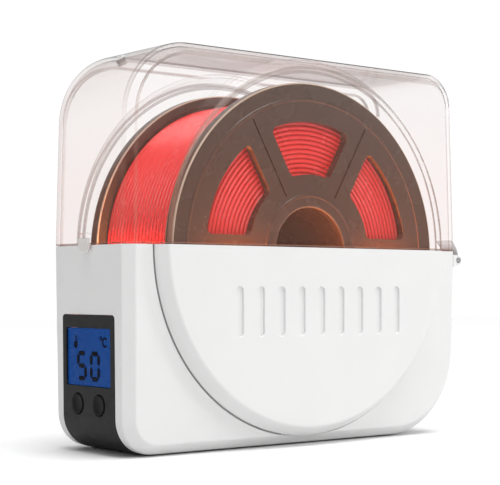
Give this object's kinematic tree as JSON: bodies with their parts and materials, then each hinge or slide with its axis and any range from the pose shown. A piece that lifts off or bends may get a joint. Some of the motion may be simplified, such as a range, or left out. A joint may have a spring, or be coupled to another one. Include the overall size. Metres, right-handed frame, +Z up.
{
  "type": "filament dryer box",
  "caption": "Upright filament dryer box: white lower housing, clear hinged lid, end panel with a display and push buttons, and a loaded spool turning on rollers inside.",
  "frame": {"origin": "on the floor under the middle of the box, at the bottom centre of its bounding box", "axes": "+X along the box towards the hinge, away from the control panel; +Y from the front face to the rear face; +Z up"},
  "size_m": [0.2653, 0.0934, 0.2293],
  "materials": {
    "housing_white": "satin white moulded plastic, softly glossy",
    "lid_clear": "clear polished plastic with a faint pink tint",
    "panel_black": "fine satin black plastic",
    "rubber_black": "matt soft rubber",
    "button_black": "matt black plastic",
    "display_pane": "clear display pane over a blue backlight",
    "display_module": "blue backlit display with dark numerals",
    "board_green": "green solder mask",
    "component_black": "moulded component body",
    "connector_cream": "cream nylon connector",
    "steel": "plated steel",
    "heat_plate": "plain rolled aluminium sheet",
    "heater_film": "amber film over etched tracks",
    "roller_grey": "dark grey moulded plastic",
    "spool_brown": "brown smoky plastic, slightly translucent",
    "filament_red": "glossy red filament turns",
    "seal_grey": "grey silicone cord",
    "lead_black": "black insulated lead"
  },
  "bodies": {
    "base": {"base_shell": "housing_white", "control_panel": "panel_black", "bottom_cover": "panel_black", "cover_screw_1": "steel", "cover_screw_2": "steel", "cover_screw_3": "steel", "cover_screw_4": "steel", "foot_1": "rubber_black", "foot_2": "rubber_black", "foot_3": "rubber_black", "foot_4": "rubber_black", "display_pane": "display_pane", "display_module": "display_module", "control_board": "board_green", "switch_front": "component_black", "switch_rear": "component_black", "processor": "component_black", "terminal_block": "connector_cream", "dc_inlet": "panel_black", "dc_inlet_pin": "steel", "spool_tray": "panel_black", "heater_plate": "heat_plate", "heater_film": "heater_film", "side_plate_left": "heat_plate", "side_plate_right": "heat_plate", "roller_shaft_left": "steel", "roller_shaft_right": "steel", "temperature_sensor": "steel", "sensor_lead": "lead_black", "inlet_lead": "lead_black", "heater_lead": "lead_black", "seam_seal": "seal_grey", "hinge_pin_front": "button_black", "hinge_pin_rear": "button_black"},
    "lid": {"lid_shell": "lid_clear", "outlet_grommet": "seal_grey"},
    "latch": {"latch_tongue": "lid_clear"},
    "button_front": {"button_front": "button_black"},
    "button_rear": {"button_rear": "button_black"},
    "spool": {"spool_flange_front": "spool_brown", "spool_flange_rear": "spool_brown", "spool_core": "spool_brown", "filament_winding": "filament_red"},
    "roller_left_front": {"roller_left_front": "roller_grey"},
    "roller_left_rear": {"roller_left_rear": "roller_grey"},
    "roller_right_front": {"roller_right_front": "roller_grey"},
    "roller_right_rear": {"roller_right_rear": "roller_grey"}
  },
  "joints": [
    {"name": "lid_hinge", "type": "hinge", "parent": "base", "child": "lid", "pos_m": [0.13125, 0, 0.1101], "axis": [0, 1, 0], "range_deg": [0, 100]},
    {"name": "latch_flex", "type": "hinge", "parent": "lid", "child": "latch", "pos_m": [-0.1303, 0, 0.1183], "axis": [0, 1, 0], "range_deg": [0, 8], "stiffness_Nm_per_rad": 0.05},
    {"name": "button_front_press", "type": "slide", "parent": "base", "child": "button_front", "axis": [0.9999, 0, 0.0155], "range_m": [0, 0.0006], "stiffness_N_per_m": 600},
    {"name": "button_rear_press", "type": "slide", "parent": "base", "child": "button_rear", "axis": [0.9999, 0, 0.0155], "range_m": [0, 0.0006], "stiffness_N_per_m": 600},
    {"name": "spool_spin", "type": "hinge", "parent": "base", "child": "spool", "pos_m": [0, 0, 0.1128], "axis": [0, 1, 0], "continuous": true},
    {"name": "roller_left_front_spin", "type": "hinge", "parent": "base", "child": "roller_left_front", "pos_m": [-0.05084, -0.0328, 0.01718], "axis": [0, 1, 0], "continuous": true},
    {"name": "roller_left_rear_spin", "type": "hinge", "parent": "base", "child": "roller_left_rear", "pos_m": [-0.05084, 0.0328, 0.01718], "axis": [0, 1, 0], "continuous": true},
    {"name": "roller_right_front_spin", "type": "hinge", "parent": "base", "child": "roller_right_front", "pos_m": [0.05084, -0.0328, 0.01718], "axis": [0, 1, 0], "continuous": true},
    {"name": "roller_right_rear_spin", "type": "hinge", "parent": "base", "child": "roller_right_rear", "pos_m": [0.05084, 0.0328, 0.01718], "axis": [0, 1, 0], "continuous": true}
  ],
  "couplings": [
    {"joint": "roller_left_front_spin", "follows": "spool_spin", "ratio": -12.5},
    {"joint": "roller_left_rear_spin", "follows": "spool_spin", "ratio": -12.5},
    {"joint": "roller_right_front_spin", "follows": "spool_spin", "ratio": -12.5},
    {"joint": "roller_right_rear_spin", "follows": "spool_spin", "ratio": -12.5}
  ]
}
